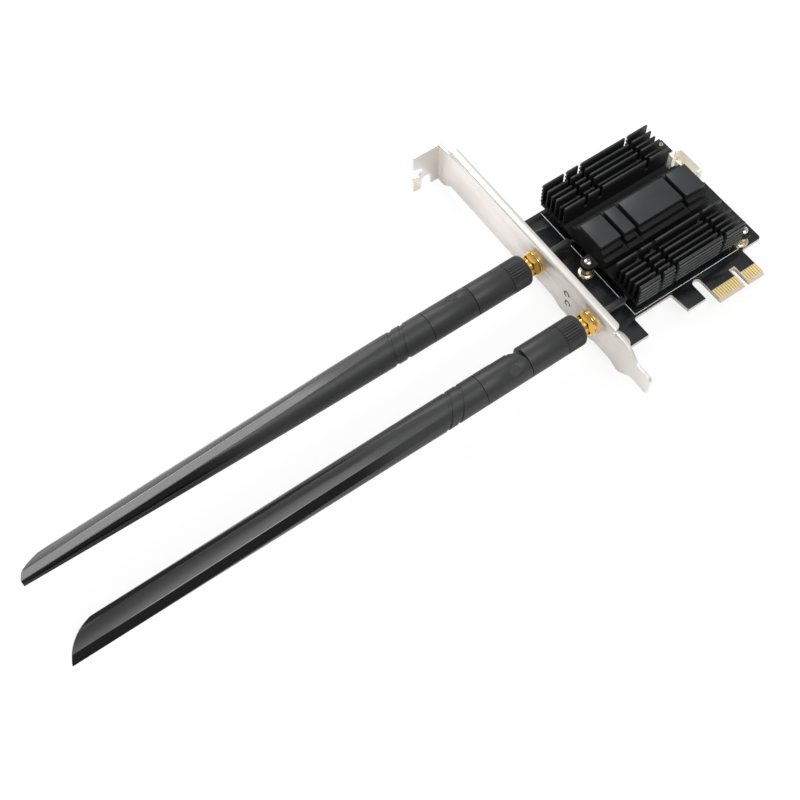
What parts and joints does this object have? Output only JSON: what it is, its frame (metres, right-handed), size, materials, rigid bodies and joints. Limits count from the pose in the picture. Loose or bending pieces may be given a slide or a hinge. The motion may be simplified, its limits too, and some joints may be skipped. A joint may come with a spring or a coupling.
{
  "type": "pcie wifi card",
  "caption": "Wireless network card for a computer's expansion slot, with a black finned heat sink, a steel bracket and hinged stick antennas that turn and fold",
  "frame": {"origin": "the key notch's centre line where it meets the edge connector's lower edge, halfway through the board", "axes": "X runs along the board away from the bracket, Y from the edge connector towards the bracket's screw tab, Z away from the board's component side"},
  "size_m": [0.2767, 0.1201, 0.0244],
  "materials": {
    "board_resist": "black solder resist, satin",
    "gold": "gold plated",
    "plated_steel": "nickel plated sheet steel",
    "screw_steel": "nickel plated",
    "black_anodised": "black anodised extrusion",
    "brass": "plain brass",
    "module_resist": "dark resist",
    "tinned_steel": "tinned sheet",
    "chip_black": "moulded chip",
    "pad_rubber": "soft grey pad",
    "socket_plastic": "black moulding",
    "cream_plastic": "cream moulding",
    "chip_ceramic": "brown ceramic",
    "lead_jacket": "black jacket",
    "sleeve_plastic": "black shrink sleeve",
    "antenna_plastic": "black moulding, fine satin"
  },
  "bodies": {
    "card": {"circuit_board": "board_resist", "edge_contacts_front": "gold", "edge_contacts_back": "gold", "bracket": "plated_steel", "bracket_screws": "screw_steel", "heat_sink": "black_anodised", "heat_sink_screws": "screw_steel", "heat_sink_posts": "brass", "wireless_module": "module_resist", "module_shield": "tinned_steel", "radio_chip": "chip_black", "thermal_pad": "pad_rubber", "module_socket": "socket_plastic", "module_post": "brass", "module_screw": "screw_steel", "pin_header": "cream_plastic", "header_pins": "gold", "chip_capacitors": "chip_ceramic", "upper_jack": "gold", "upper_lock_washer": "gold", "upper_hex_nut": "gold", "upper_lead": "lead_jacket", "upper_shrink_sleeve": "sleeve_plastic", "upper_coax_plug": "gold", "lower_jack": "gold", "lower_lock_washer": "gold", "lower_hex_nut": "gold", "lower_lead": "lead_jacket", "lower_shrink_sleeve": "sleeve_plastic", "lower_coax_plug": "gold"},
    "upper_coupling": {"upper_collar": "antenna_plastic"},
    "upper_swivel": {"upper_barrel": "antenna_plastic"},
    "upper_antenna": {"upper_knuckle": "antenna_plastic", "upper_hinge_pin": "antenna_plastic", "upper_blade": "antenna_plastic"},
    "lower_coupling": {"lower_collar": "antenna_plastic"},
    "lower_swivel": {"lower_barrel": "antenna_plastic"},
    "lower_antenna": {"lower_knuckle": "antenna_plastic", "lower_hinge_pin": "antenna_plastic", "lower_blade": "antenna_plastic"}
  },
  "joints": [
    {"name": "upper_collar_spin", "type": "hinge", "parent": "card", "child": "upper_coupling", "pos_m": [-0.06585, 0.04817, 0.0052], "axis": [1, 0, 0], "continuous": true},
    {"name": "upper_swivel_turn", "type": "hinge", "parent": "upper_coupling", "child": "upper_swivel", "pos_m": [-0.0695, 0.04817, 0.0052], "axis": [1, 0, 0], "continuous": true},
    {"name": "upper_tilt", "type": "hinge", "parent": "upper_swivel", "child": "upper_antenna", "pos_m": [-0.09135, 0.04817, 0.0052], "axis": [0, -0.4695, -0.8829], "range_deg": [0, 90]},
    {"name": "lower_collar_spin", "type": "hinge", "parent": "card", "child": "lower_coupling", "pos_m": [-0.06585, 0.01817, 0.0052], "axis": [1, 0, 0], "continuous": true},
    {"name": "lower_swivel_turn", "type": "hinge", "parent": "lower_coupling", "child": "lower_swivel", "pos_m": [-0.0695, 0.01817, 0.0052], "axis": [1, 0, 0], "continuous": true},
    {"name": "lower_tilt", "type": "hinge", "parent": "lower_swivel", "child": "lower_antenna", "pos_m": [-0.09135, 0.01817, 0.0052], "axis": [0, 0.4848, -0.8746], "range_deg": [0, 90]}
  ]
}
